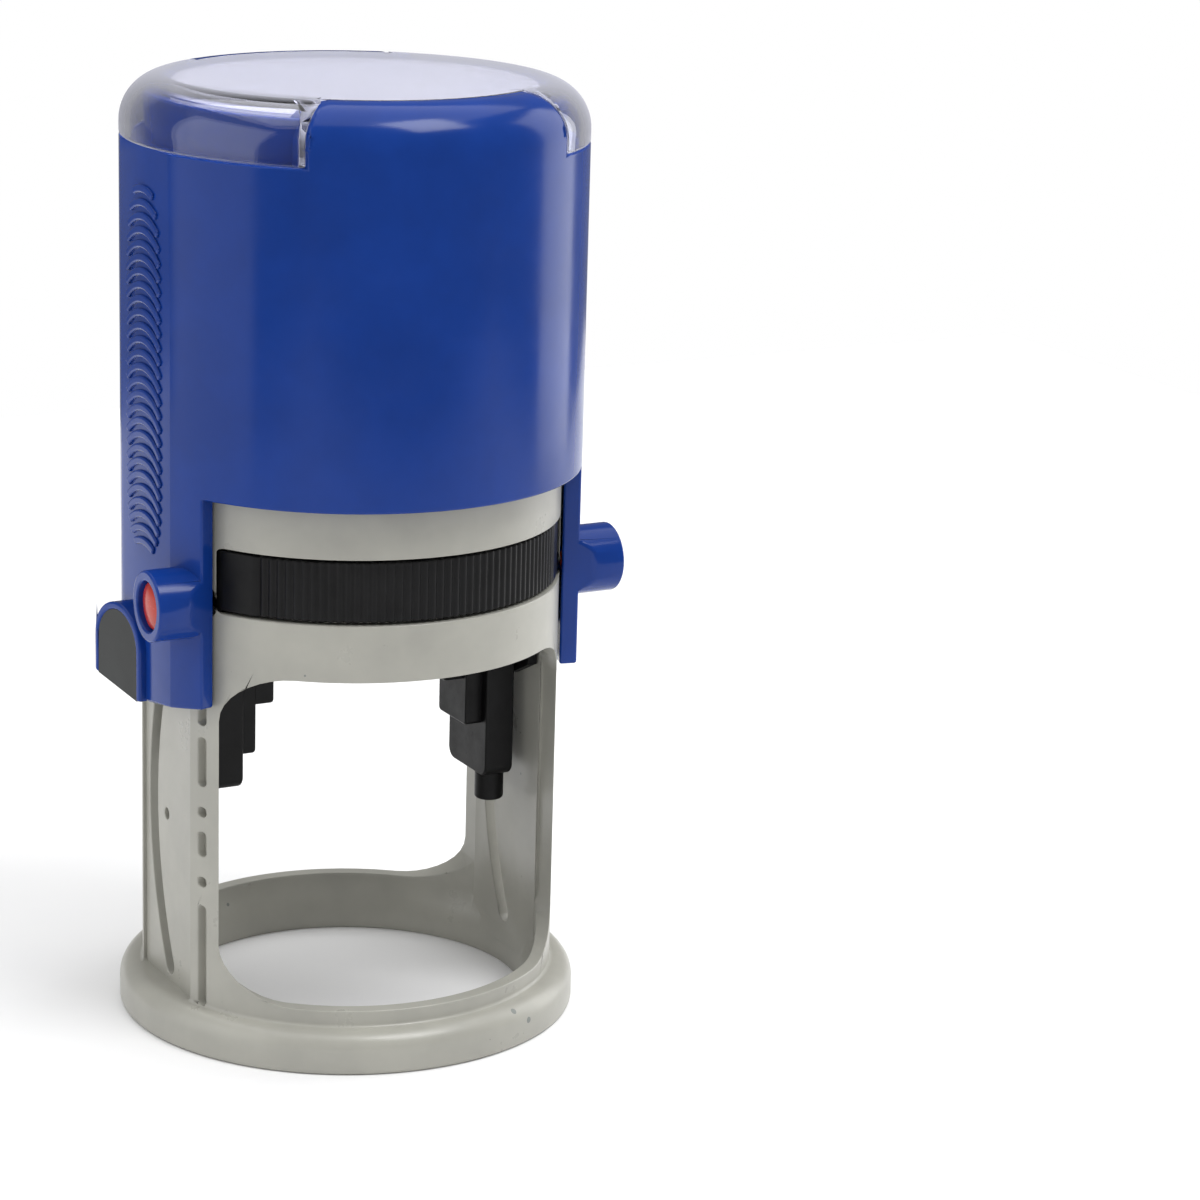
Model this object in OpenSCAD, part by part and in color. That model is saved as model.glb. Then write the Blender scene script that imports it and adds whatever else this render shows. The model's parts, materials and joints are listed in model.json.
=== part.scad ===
// Round self inking stamp, standing on its base with the casing up.
// Millimetres. +Z up, -Y is the front where the cassette comes out, +X is the right side.
// The origin is the centre of the base's underside.

/* [Impression] */
// Radius of the rubber die's printing face
die_r = 19; // [17:0.5:22]
// Height from the flip pivot to the printing face
pivot_to_face = 12; // [10.5:0.5:13.5]
// Height of the printing face when it rests against the pad
face_rest_z = 55; // [50:0.5:62]
// Thickness of the rubber die's floor, under its raised lines
rubber_floor_t = 1; // [0.6:0.1:1.4]
// Height of the raised lines on the rubber die
relief_h = 0.8; // [0.4:0.1:1]
// Thickness of the foam cushion behind the rubber die
cushion_t = 1.4; // [1:0.1:2]
// Thickness of the plate that the cushion is glued to
die_plate_t = 1.8; // [1.2:0.1:2]

/* [Frame] */
// Thickness of the frame's round wall
wall_t = 1.8; // [1.4:0.1:2.6]
// Thickness of the flat side panels with the cam slots
panel_t = 1.6; // [1.2:0.1:2]
// Width of the flange beyond the wall
flange_lip = 2.8; // [2:0.1:4]
// Height of the flange's upright edge
flange_edge_h = 2.2; // [1.5:0.1:3]
// Height of the base ring, to the bottom of the front and back openings
base_h = 7; // [6:0.5:9]
// Height of the lower band, between the openings and the cassette window
lower_band_h = 6.8; // [5:0.1:9]
// Height of the cassette window
window_h = 7.8; // [7.4:0.1:9]
// Height of the upper band above the cassette window
upper_band_h = 6.4; // [5:0.1:8]
// Radius of the openings' corners
opening_corner_r = 6.3; // [3:0.1:8]

/* [Cassette] */
// Thickness of the ink pad
pad_t = 4.9; // [4.2:0.1:5]
// Thickness of the tray's side walls
tray_wall = 0.7; // [0.6:0.1:1]
// Gap between the printing face and the pad at rest
pad_gap = 0.1; // [0.05:0.05:0.3]

/* [Casing] */
// Wall thickness of the casing
casing_t = 2.1; // [1.6:0.1:3]
// How far the casing's rim reaches below the frame's top, at the front and back
rim_overlap = 0.4; // [0.2:0.1:2]
// How far the casing's two side legs reach below the flip pivot
leg_drop = 2.5; // [1:0.1:4]
// Half the angle that each side leg covers
leg_half_angle = 26.8; // [26:0.1:32]
// Height from the shoulder, where the clear cap's skirt starts, to the top of the stamp
crown_h = 7; // [6.5:0.1:8]
// Radius of the crown's rounded edge
crown_fillet = 5.5; // [4:0.1:6]
// Depth of the flat grip on each side
grip_depth = 1.05; // [0.8:0.05:1.3]

/* [Lock buttons] */
// Radius of the lock button's head
button_r = 2.85; // [2.4:0.05:3]
// How far a lock button travels inwards
button_travel = 1.8; // [1:0.1:2]
// Height of the lock buttons above the cassette window's lower edge
button_rise = 1.1; // [0.5:0.1:3]
// How far in front of the centre the lock buttons are
button_y = 9.5; // [8.5:0.1:10]
// How far the button boss stands out from the casing
boss_proud = 2.7; // [2:0.1:3.5]

/* [Moving parts] */
// Radius of the flip pivot pins
pivot_r = 1.45; // [1.2:0.05:1.6]
// Radius of the cam pins
cam_pin_r = 1; // [0.8:0.05:1.1]
// Distance from the flip pivot to the cam pins
cam_arm = 5; // [4.8:0.1:5.5]
// Thickness of the yoke's two arms
yoke_t = 1.2; // [1:0.1:1.6]
// Wire thickness of the return spring
spring_wire = 1.2; // [0.8:0.1:1.4]
// Number of turns of the return spring
spring_turns = 9; // [7:1:10]
// Height left for the return spring when the casing is all the way down
spring_room = 15.8; // [14:0.1:20]

/* [Hidden] */
$fn = 96;
eps = 0.01;

// Clearances between pieces
slide_gap = 0.3;
run_gap = 0.05;
snug_gap = 0.02;

// Radii and half widths, each built outwards from the die
pad_r = die_r + 0.2;
tray_half = die_r + slide_gap + tray_wall;
yoke_in = tray_half + slide_gap;
yoke_out = yoke_in + yoke_t;
panel_in = yoke_out + slide_gap;
wall_in = panel_in + panel_t;
wall_r = wall_in + wall_t;
casing_in = wall_r + slide_gap;
casing_r = casing_in + casing_t;
flange_r = wall_r + flange_lip;
base_hole_r = wall_in - 1.5;
tray_r = wall_in - slide_gap;
grip_x = casing_r - grip_depth;
boss_x = casing_r + boss_proud;

// Heights
pivot_z = face_rest_z - pivot_to_face;
press_travel = pivot_z - pivot_to_face;
window_z = face_rest_z - 0.9;
band_z = window_z - lower_band_h;
window_top = window_z + window_h;
deck_t = 1.5;
deck_top = window_top + deck_t;
frame_top = window_top + upper_band_h;
pad_z = face_rest_z + pad_gap;
tray_bottom = face_rest_z + pad_gap / 2;
tray_top = window_top - slide_gap;
rim_z = frame_top - rim_overlap;
leg_z = pivot_z - leg_drop;
button_z = window_z + button_rise;
ceiling_z = deck_top + press_travel + spring_room;
plateau_z = ceiling_z + 1.6;
crown_z = plateau_z + 2.2;
shoulder_z = crown_z - crown_h;
yoke_plate_t = 2;
stud_y = yoke_in - 5.3;

// Half widths of the openings, seen from the front
opening_half = wall_in * 0.949;
window_half = wall_r * 0.889;

// The flat recess and the dashed guide groove on the outside of each frame leg
recess_half = 7.4;
recess_x = wall_in + 0.2;
groove_y = 9.4;
groove_w = 1.3;
groove_depth = 0.7;
groove_dashes = [[0.108, 0.372], [0.423, 0.448], [0.503, 0.567], [0.607, 0.632], [0.687, 0.814], [0.846, 0.93]] * band_z;

// Half the width of the front and back shields, and the radius inside them
shield_half = casing_r * 0.588;
shield_in = casing_r - crown_fillet - 0.1;
shield_corner_r = 5;
plateau_r = casing_in - 0.9;
cap_t = 1.3;

// The button's parts, and the small spring behind its head
button_stem_r = 1.5;
button_recess = 0.3;
button_floor_x = casing_in + 0.7;
button_head_x = button_floor_x + button_travel + 0.4;
button_face_x = boss_x - button_recess;
boss_r = button_r + 1.35;

// The arched hood at the back half of each casing leg
arch_y = 5.2;
arch_z = leg_z + 6;
arch_r = 4.3;
arch_wall = 0.9;
hood_proud = 1.4;
window_t = 0.7;

// ---------------------------------------------------------------- helpers

// Points of an arc about (cx, cy), from angle a0 to a1
function arc(cx, cy, r, a0, a1, n = 12) =
    [for (i = [0 : n]) let (a = a0 + (a1 - a0) * i / n) [cx + r * cos(a), cy + r * sin(a)]];

// Place of the cam pin, as [y, z], when the carrier has turned by the angle a
function cam_at(a) = [cam_arm * sin(a), pivot_z - press_travel * a / 180 + cam_arm * cos(a)];

// Unit normal of the cam path at the angle a
function cam_normal(a) =
    let (p = cam_at(a - 0.5), q = cam_at(a + 0.5), d = q - p) [-d[1], d[0]] / norm(d);

// A piece and its mirror image on the other side
module both_sides() {
    children();
    mirror([1, 0, 0]) children();
}

// Only one side: 1 is right, -1 is left
module on_side(side) {
    if (side > 0) children();
    else mirror([1, 0, 0]) children();
}

module tube(r_out, r_in, z0, z1) {
    rotate_extrude() polygon([[r_in, z0], [r_out, z0], [r_out, z1], [r_in, z1]]);
}

module disc(r, z0, z1) {
    translate([0, 0, z0]) cylinder(r = r, h = z1 - z0);
}

// A cylinder along +X from x0 to x1
module rod_x(r, x0, x1, y, z, sides = 48) {
    translate([x0, y, z]) rotate([0, 90, 0]) cylinder(r = r, h = x1 - x0, $fn = sides);
}

module block(x0, x1, y0, y1, z0, z1) {
    translate([x0, y0, z0]) cube([x1 - x0, y1 - y0, z1 - z0]);
}

// A flat outline drawn in [x, z], extruded along Y from y0 to y1
module along_y(y0, y1) {
    translate([0, y1, 0]) rotate([90, 0, 0]) linear_extrude(y1 - y0) children();
}

// A flat outline drawn in [y, z], extruded along +X from x0 to x1
module along_x(x0, x1) {
    translate([x0, 0, 0]) rotate([90, 0, 90]) linear_extrude(x1 - x0) children();
}

// Rounded rectangle with its own radius at the bottom and the top corners
module soft_rect(half, z0, z1, r_low, r_high) {
    polygon(concat(
        r_low > 0 ? arc(half - r_low, z0 + r_low, r_low, -90, 0) : [[half, z0]],
        r_high > 0 ? arc(half - r_high, z1 - r_high, r_high, 0, 90) : [[half, z1]],
        r_high > 0 ? arc(r_high - half, z1 - r_high, r_high, 90, 180) : [[-half, z1]],
        r_low > 0 ? arc(r_low - half, z0 + r_low, r_low, 180, 270) : [[-half, z0]]));
}

// Closed helix of round wire, with flat ground ends left out
module coil(mean_r, wire_r, z0, z1, turns, per_turn = 20, sides = 8) {
    rings = turns * per_turn;
    pitch = (z1 - z0 - 2 * wire_r) / turns;
    points = [for (i = [0 : rings]) let (a = 360 * i / per_turn) for (k = [0 : sides - 1])
        let (b = 360 * k / sides, rho = mean_r + wire_r * cos(b))
        [rho * cos(a), rho * sin(a), z0 + wire_r + pitch * i / per_turn + wire_r * sin(b)]];
    skin = [for (i = [0 : rings - 1]) for (k = [0 : sides - 1])
        let (m = (k + 1) % sides, p = i * sides, q = p + sides) [p + k, q + k, q + m, p + m]];
    ends = [[for (k = [0 : sides - 1]) k], [for (k = [0 : sides - 1]) rings * sides + sides - 1 - k]];
    polyhedron(points = points, faces = concat(skin, ends), convexity = 10);
}

// ---------------------------------------------------------------- frame

// Outline of the cam slot in [y, z]: the pin's path, widened to each side, with round ends
function slot_side(side, r) = [for (a = [0 : 7.5 : 180]) cam_at(a) + side * r * cam_normal(a)];
function slot_end(a, turn, r) =
    let (c = cam_at(a), n = cam_normal(a)) arc(c[0], c[1], r, atan2(n[1], n[0]) + turn, atan2(n[1], n[0]) + turn + 180);
function backwards(list) = [for (i = [len(list) - 1 : -1 : 0]) list[i]];

module cam_slot() {
    slot_r = cam_pin_r + 0.25;
    along_x(base_hole_r - 1.5, wall_r) polygon(concat(
        slot_end(0, 0, slot_r), slot_side(-1, slot_r),
        slot_end(180, 180, slot_r), backwards(slot_side(1, slot_r))));
}

// The flange, the wall, the deck and the spring's locating ring, as one turned shape
module frame_turned() {
    ring_in = spring_mean_r() + spring_wire / 2 + 0.5;
    ring_out = ring_in + 1;
    ring_top = deck_top + 2.6;
    rotate_extrude() polygon(concat(
        [[base_hole_r, 0], [flange_r - 0.4, 0], [flange_r, 0.4]],
        arc(wall_r, flange_edge_h, flange_lip, 0, 90, 10),
        [[wall_r, frame_top], [wall_in, frame_top], [wall_in, deck_top],
         [ring_out, deck_top], [ring_out, ring_top], [ring_in, ring_top], [ring_in, deck_top],
         [0, deck_top], [0, window_top], [wall_in, window_top], [wall_in, base_h],
         [base_hole_r, flange_edge_h + 0.3]]));
}

module frame_openings() {
    along_y(-casing_r, casing_r)
        soft_rect(opening_half, base_h, band_z, opening_corner_r, opening_corner_r);
    along_y(-casing_r, 0)
        soft_rect(window_half, window_z, window_top, 0.6, 0.6);
    both_sides() block(yoke_in - slide_gap, yoke_out + slide_gap,
                       -yoke_front() - slide_gap, slide_gap - yoke_back(),
                       window_top - 1, deck_top + 1);
}

module leg_panel() {
    block(panel_in, recess_x + 0.05, -recess_half - 1, recess_half + 1, flange_edge_h + 0.4, window_z - 0.2);
}

module leg_recess() {
    block(recess_x, casing_r, -recess_half, recess_half, flange_edge_h + flange_lip, window_z - 1);
}

module guide_groove() {
    for (dash = groove_dashes)
        intersection() {
            block(0, casing_r, -groove_y - groove_w / 2, -groove_y + groove_w / 2, dash[0], dash[1]);
            tube(casing_r, wall_r - groove_depth, dash[0], dash[1]);
        }
}

// Shelf at the back that the tray slides on
module tray_shelf() {
    difference() {
        tube(wall_in + wall_t / 2, die_r + 1.8, face_rest_z - 1.6, face_rest_z - 0.1);
        block(-casing_r, casing_r, -casing_r, 3, 0, frame_top);
    }
}

module frame_body() {
    color([0.70, 0.69, 0.65])
    difference() {
        union() {
            difference() {
                frame_turned();
                frame_openings();
            }
            both_sides() leg_panel();
            tray_shelf();
        }
        both_sides() {
            leg_recess();
            cam_slot();
            guide_groove();
            rod_x(button_stem_r + 0.6, wall_in - 3, casing_in, -button_y, button_z);
            rod_x(0.7, panel_in - 1, wall_r, 0.9, pivot_z - 17, 24);
        }
    }
}

// ---------------------------------------------------------------- ink cassette

// Half disc bar that closes the window, with the outline of the frame wall
module tray_front() {
    intersection() {
        tube(wall_r - 0.3, tray_r - slide_gap, window_z + slide_gap, tray_top);
        along_y(-casing_r, -button_y + 0.9)
            soft_rect(window_half - slide_gap, window_z + slide_gap, tray_top, 0.5, 0.5);
    }
}

module cassette_tray() {
    color([0.10, 0.10, 0.10])
    difference() {
        union() {
            intersection() {
                disc(tray_r, tray_bottom, tray_top);
                block(-tray_half, tray_half, -wall_r, wall_r, 0, crown_z);
            }
            tray_front();
        }
        disc(pad_r + 0.1, 0, pad_z + pad_t);
    }
}

module ink_pad() {
    color([0.07, 0.20, 0.10]) disc(pad_r, pad_z, pad_z + pad_t);
}

// ---------------------------------------------------------------- casing

// Outline of the rounded crown between two radii, as [r, z], lowered by inset all round
module crown_outline(r_in, inset, z0) {
    top = crown_z - inset;
    edge = casing_r - inset;
    r = crown_fillet - inset;
    polygon(concat([[r_in, z0], [edge, z0]],
                   arc(edge - r, top - r, r, 0, 90), [[r_in, top]]));
}

// The two shields' outline, seen from the front, grown by gap
module shield_mask(gap) {
    along_y(-2 * casing_r, 2 * casing_r)
        soft_rect(shield_half + gap, shoulder_z - 3, crown_z + 0.1 + gap, 0, shield_corner_r + gap);
}

module shields() {
    intersection() {
        rotate_extrude() crown_outline(shield_in, 0, shoulder_z - 1);
        shield_mask(0);
    }
}

// The wall, the plateau under the label and the post inside the spring, as one turned shape
module casing_turned() {
    post_r = spring_mean_r() - spring_wire / 2 - 0.6;
    rotate_extrude() polygon([
        [casing_in, leg_z], [casing_r, leg_z], [casing_r, shoulder_z], [plateau_r, shoulder_z],
        [plateau_r, plateau_z], [0, plateau_z], [0, ceiling_z - 9], [post_r, ceiling_z - 9],
        [post_r, ceiling_z], [plateau_r - 1.4, ceiling_z], [plateau_r - 1.4, shoulder_z - 2],
        [casing_in, shoulder_z - 2]]);
}

// Wedges around the front and the back, which leave the two side legs below the rim
module leg_gaps() {
    reach = 2 * casing_r;
    w = reach * tan(90 - leg_half_angle);
    translate([0, 0, leg_z - 1]) linear_extrude(rim_z - leg_z + 1) {
        polygon([[0, 0], [-w, -reach], [w, -reach]]);
        polygon([[0, 0], [w, reach], [-w, reach]]);
    }
}

// Boss round the lock button, closed inside by a floor with a hole for the stem
module button_boss() {
    difference() {
        rod_x(boss_r, casing_in - 2, boss_x, -button_y, button_z);
        disc(casing_in, button_z - 2 * boss_r, button_z + 2 * boss_r);
    }
}

module button_bore() {
    rod_x(button_r + 0.1, button_floor_x, boss_x + 1, -button_y, button_z);
    rod_x(button_stem_r + 0.1, casing_in - 4, boss_x, -button_y, button_z);
}

// Arch outline in [y, z]: a half round head on straight sides
module arch_outline(r) {
    polygon(concat([[arch_y + r, leg_z - 1], [arch_y + r, arch_z]],
                   arc(arch_y, arch_z, r, 0, 180, 16), [[arch_y - r, leg_z - 1]]));
}

// Slanted cut that opens the hood to the front and the outside
module arch_slant(grow) {
    x_front = casing_r - 0.2 + grow;
    x_back = casing_r + hood_proud + grow;
    translate([0, 0, leg_z - 2]) linear_extrude(4 * arch_r)
        polygon([[casing_in, arch_y - 2 * arch_r], [x_front, arch_y - 2 * arch_r],
                 [x_front, arch_y - arch_r - arch_wall], [x_back, arch_y + arch_r],
                 [x_back, arch_y + 2 * arch_r], [casing_in, arch_y + 2 * arch_r]]);
}

module arch_hood() {
    intersection() {
        along_x(casing_in, boss_x) difference() {
            arch_outline(arch_r + arch_wall);
            arch_outline(arch_r);
        }
        arch_slant(0);
        block(0, 2 * casing_r, -casing_r, casing_r, leg_z, shoulder_z);
    }
}

// What is cut from under a leg, so that its edge rises from the arch to the front and the back
module leg_underside() {
    along_x(0, 2 * casing_r)
        polygon([[-casing_r, leg_z - 2], [-casing_r, leg_z + 5.1], [arch_y - arch_r, leg_z],
                 [arch_y + arch_r, leg_z + 1.5], [casing_r, leg_z + 4.6], [casing_r, leg_z - 2]]);
}

module casing_shell() {
    color([0.13, 0.27, 0.62])
    difference() {
        union() {
            difference() {
                casing_turned();
                both_sides() {
                    block(grip_x, 2 * casing_r, -casing_r, casing_r, leg_z - 1, shoulder_z + 1);
                    along_x(casing_in - 3, 2 * casing_r) arch_outline(arch_r);
                }
            }
            shields();
            both_sides() {
                button_boss();
                arch_hood();
            }
        }
        leg_gaps();
        both_sides() {
            button_bore();
            leg_underside();
        }
        for (y = [-1, 1]) translate([0, y * stud_y, ceiling_z - 1]) cylinder(r = 1.5 + snug_gap, h = 5, $fn = 32);
    }
}

// Dark window that closes the arch, set a little behind the hood's slanted edge
module arch_liner(side) {
    on_side(side) color([0.08, 0.09, 0.09])
    difference() {
        intersection() {
            along_x(casing_in, boss_x) arch_outline(arch_r);
            arch_slant(-0.15);
        }
        arch_slant(-0.15 - window_t);
        leg_underside();
    }
}

module label_card() {
    color([0.90, 0.90, 0.96]) disc(shield_in - 0.6, plateau_z, plateau_z + 0.3);
}

module clear_cap() {
    color([0.85, 0.90, 0.95, 0.35])
    difference() {
        rotate_extrude() difference() {
            crown_outline(0, 0, shoulder_z + 0.1);
            crown_outline(0, cap_t, shoulder_z - 1);
        }
        intersection() {
            tube(2 * casing_r, shield_in - 0.15, shoulder_z - 1, crown_z + 1);
            shield_mask(0.15);
        }
    }
}

// ---------------------------------------------------------------- press yoke and return spring

// The arms stay in front of the pivot, so that the cam pins can pass behind them
function yoke_front() = 8;
function yoke_back() = cam_pin_r + 0.7;
function spring_mean_r() = 6.9;

module yoke_arm() {
    boss = cam_arm - cam_pin_r - 0.7;
    difference() {
        union() {
            block(yoke_in, yoke_out, -yoke_front(), -yoke_back(), pivot_z, ceiling_z);
            rod_x(boss, yoke_in, yoke_out, 0, pivot_z);
            along_x(yoke_in, yoke_out)
                polygon([[-yoke_front(), pivot_z], [-boss, pivot_z], [0, pivot_z - boss],
                         [-boss, pivot_z - boss], [-yoke_front(), pivot_z - 1]]);
        }
        rod_x(pivot_r + snug_gap / 2, yoke_in - 1, yoke_out + 1, 0, pivot_z);
    }
}

module press_yoke() {
    color([0.12, 0.12, 0.12]) {
        both_sides() yoke_arm();
        tube(yoke_out - 0.1, spring_mean_r() + spring_wire / 2 + 0.9, ceiling_z - yoke_plate_t, ceiling_z);
        for (y = [-1, 1]) translate([0, y * stud_y, ceiling_z - eps]) cylinder(r = 1.5, h = 1.4, $fn = 32);
    }
}

module return_spring() {
    color([0.75, 0.76, 0.78])
        coil(spring_mean_r(), spring_wire / 2, deck_top, ceiling_z, spring_turns);
}

// ---------------------------------------------------------------- lock buttons

module lock_button(side) {
    on_side(side) color([0.84, 0.18, 0.14]) {
        rod_x(button_r, button_head_x, button_face_x, -button_y, button_z);
        rod_x(button_stem_r, wall_in + 0.75, button_head_x + eps, -button_y, button_z);
    }
}

module button_spring(side) {
    on_side(side) color([0.75, 0.76, 0.78])
        translate([button_floor_x, -button_y, button_z]) rotate([0, 90, 0])
            coil(2.25, 0.2, 0, button_head_x - button_floor_x, 3, 16, 6);
}

// ---------------------------------------------------------------- die carrier

cheek_in = tray_half - 3.8;
cheek_half = 5.2;
carrier_top = face_rest_z - relief_h - rubber_floor_t - cushion_t - die_plate_t;
carrier_plate_t = 2.3;

// The right cheek is longer and has the peg
module carrier_cheek(side) {
    tail_z = pivot_z - (side > 0 ? 16 : 13);
    on_side(side) {
        along_x(cheek_in, tray_half)
            polygon(concat([[cheek_half, carrier_top], [-cheek_half, carrier_top]],
                           arc(1.5 - cheek_half, tail_z + 1.5, 1.5, 180, 270, 6),
                           arc(cheek_half - 1.5, tail_z + 1.5, 1.5, 270, 360, 6)));
        block(cheek_in - 2.2, cheek_in + eps, -3.8, 3.8, pivot_z - 9.3, carrier_top);
        block(cheek_in - 4.8, cheek_in - 2.2 + eps, -3.2, 3.2, pivot_z - 3.5, carrier_top);
        if (side > 0) translate([tray_half - 1.9, -2.5, tail_z - 3.4]) cylinder(r = 1.8, h = 4, $fn = 48);
    }
}

module die_carrier() {
    color([0.11, 0.11, 0.11])
    difference() {
        union() {
            disc(die_r - 0.4, carrier_top - carrier_plate_t, carrier_top);
            for (side = [-1, 1]) carrier_cheek(side);
        }
        both_sides() {
            rod_x(pivot_r + run_gap, cheek_in - 6, tray_half + 1, 0, pivot_z);
            rod_x(cam_pin_r + snug_gap / 2, cheek_in + 1, tray_half + 1, 0, pivot_z + cam_arm);
        }
    }
}

module pivot_pin(side) {
    on_side(side) color([0.72, 0.73, 0.75])
        rod_x(pivot_r, cheek_in - 1, yoke_out, 0, pivot_z);
}

module cam_pin(side) {
    on_side(side) color([0.72, 0.73, 0.75])
        rod_x(cam_pin_r, cheek_in + 1, wall_in - 0.4, 0, pivot_z + cam_arm);
}

module die_plate() {
    color([0.20, 0.20, 0.21]) disc(die_r - 0.2, carrier_top, carrier_top + die_plate_t);
}

module foam_cushion() {
    z = carrier_top + die_plate_t;
    color([0.78, 0.78, 0.76]) disc(die_r - 0.3, z, z + cushion_t);
}

// Generic printing pattern: two rings and a ring of radial bars about a plain dot
module rubber_die() {
    z = face_rest_z - relief_h - rubber_floor_t;
    top = face_rest_z - relief_h - eps;
    bars = 24;
    color([0.16, 0.30, 0.18]) {
        disc(die_r, z, face_rest_z - relief_h);
        tube(die_r, die_r - 1.2, top, face_rest_z);
        tube(die_r * 0.55, die_r * 0.55 - 0.8, top, face_rest_z);
        disc(die_r * 0.28, top, face_rest_z);
        for (i = [0 : bars - 1]) rotate([0, 0, 360 * i / bars])
            block(die_r * 0.64, die_r * 0.84, -0.7, 0.7, top, face_rest_z);
    }
}

frame_body();
cassette_tray();
ink_pad();
casing_shell();
press_yoke();
label_card();
clear_cap();
arch_liner(-1);  // arch_liner_left
arch_liner(1);  // arch_liner_right
return_spring();
lock_button(-1);  // lock_button_left
lock_button(1);  // lock_button_right
button_spring(-1);  // button_spring_left
button_spring(1);  // button_spring_right
die_carrier();
pivot_pin(-1);  // pivot_pin_left
pivot_pin(1);  // pivot_pin_right
cam_pin(-1);  // cam_pin_left
cam_pin(1);  // cam_pin_right
die_plate();
foam_cushion();
rubber_die();
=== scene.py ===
"""Visual model of a round self inking stamp, built around its packed mechanical frame.

Lengths are worked out in millimetres, and each finished mesh is scaled to metres.
X is to the right, -Y is the front where the ink cassette comes out, and Z is up.
"""

import json
import logging
import math
from collections.abc import Iterable, Sequence
from dataclasses import dataclass
from enum import Enum

import bmesh
import bpy
from mathutils import Matrix, Quaternion, Vector


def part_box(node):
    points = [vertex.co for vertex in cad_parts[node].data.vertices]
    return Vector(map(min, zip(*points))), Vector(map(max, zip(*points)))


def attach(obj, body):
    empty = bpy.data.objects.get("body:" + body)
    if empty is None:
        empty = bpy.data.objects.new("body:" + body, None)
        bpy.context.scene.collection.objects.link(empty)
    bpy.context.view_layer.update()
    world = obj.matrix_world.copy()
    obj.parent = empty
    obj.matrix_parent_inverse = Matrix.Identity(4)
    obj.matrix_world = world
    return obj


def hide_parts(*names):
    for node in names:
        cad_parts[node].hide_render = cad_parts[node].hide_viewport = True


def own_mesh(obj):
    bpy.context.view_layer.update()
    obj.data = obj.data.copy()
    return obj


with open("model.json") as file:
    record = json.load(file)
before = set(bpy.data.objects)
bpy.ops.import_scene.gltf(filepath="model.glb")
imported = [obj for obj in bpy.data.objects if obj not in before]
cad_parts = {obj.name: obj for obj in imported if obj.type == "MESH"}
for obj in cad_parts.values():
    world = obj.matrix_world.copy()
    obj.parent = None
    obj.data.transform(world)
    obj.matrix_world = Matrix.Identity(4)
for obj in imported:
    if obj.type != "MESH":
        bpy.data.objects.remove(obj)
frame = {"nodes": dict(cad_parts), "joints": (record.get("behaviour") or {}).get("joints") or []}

LOG = logging.getLogger("stamp")

MM = 0.001  # metres in a millimetre
ROUND_STEPS = 180  # sides of a large turned shape
FRAME_STEPS = 176  # sides of the frame's wall, chosen so that few thin facets stay beside its openings
SMALL_STEPS = 64  # sides of a pin, a bore or a button
ARC_STEP = 10.0  # degrees between the points of a rounded corner
ROW = 2.0  # tallest row of faces on a large turned shape, so that shading stays local
ROW_STEPS = 100  # a shape with more sides than this is large enough for rows

Outline = list[tuple[float, float]]
Corner = tuple[float, float, float]


# ---------------------------------------------------------------- shaping


class Axis(Enum):
    """Direction that a flat outline is drawn along."""

    X = (1.0, 0.0, 0.0)
    Y = (0.0, 1.0, 0.0)
    Z = (0.0, 0.0, 1.0)

    def place(self, u: float, v: float, along: float) -> tuple[float, float, float]:
        """Point of an outline: (y, z) along X, (x, z) along Y or (x, y) along Z."""
        if self is Axis.X:
            return (along, u, v)
        return (u, along, v) if self is Axis.Y else (u, v, along)


class Cut(Enum):
    """What a tool does to the solid it is combined with."""

    ADD = "UNION"
    TAKE = "DIFFERENCE"
    KEEP = "INTERSECT"


def rounded(corners: Sequence[Corner], step: float = ARC_STEP) -> Outline:
    """Turns the corners of a polygon into arcs.

    Args:
        corners: Each corner's two places and the radius of its arc.
        step: Degrees between an arc's points.

    Returns:
        The outline's points in the same order.
    """
    points: Outline = []
    for index, (u, v, radius) in enumerate(corners):
        here = Vector((u, v))
        if radius <= 0:
            points.append((u, v))
            continue
        back = (Vector(corners[index - 1][:2]) - here).normalized()
        ahead = (Vector(corners[(index + 1) % len(corners)][:2]) - here).normalized()
        half = back.angle(ahead) / 2
        middle = here + (back + ahead).normalized() * (radius / math.sin(half))
        start = here + back * (radius / math.tan(half)) - middle
        end = here + ahead * (radius / math.tan(half)) - middle
        sweep = math.copysign(math.pi - 2 * half, start.x * end.y - start.y * end.x)
        count = max(2, math.ceil(math.degrees(abs(sweep)) / step))
        for k in range(count + 1):
            turn = Matrix.Rotation(sweep * k / count, 2)
            points.append(tuple(middle + turn @ start))
    return points


def arc(
    radius: float, start: float, end: float, count: int, centre: tuple[float, float] = (0.0, 0.0)
) -> Outline:
    """Points of an arc from one angle to another, in degrees, with both ends."""
    angles = [math.radians(start + (end - start) * k / count) for k in range(count + 1)]
    return [(centre[0] + radius * math.cos(a), centre[1] + radius * math.sin(a)) for a in angles]


def soft_box(u0: float, u1: float, v0: float, v1: float, low: float = 0.0, high: float = 0.0) -> Outline:
    """Rectangle with rounded corners.

    Args:
        u0: Lowest first place.
        u1: Highest first place.
        v0: Lowest second place.
        v1: Highest second place.
        low: Radius of the two lower corners.
        high: Radius of the two upper corners.

    Returns:
        The outline's points.
    """
    return rounded([(u0, v0, low), (u1, v0, low), (u1, v1, high), (u0, v1, high)])


def prism(outline: Outline, axis: Axis, low: float, high: float) -> bmesh.types.BMesh:
    """Draws a flat outline along an axis into a closed solid."""
    solid = bmesh.new()
    face = solid.faces.new([solid.verts.new(axis.place(u, v, low)) for u, v in outline])
    drawn = bmesh.ops.extrude_face_region(solid, geom=[face])["geom"]
    moved = [item for item in drawn if isinstance(item, bmesh.types.BMVert)]
    bmesh.ops.translate(solid, vec=Vector(axis.value) * (high - low), verts=moved)
    bmesh.ops.recalc_face_normals(solid, faces=solid.faces)
    return solid


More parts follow.
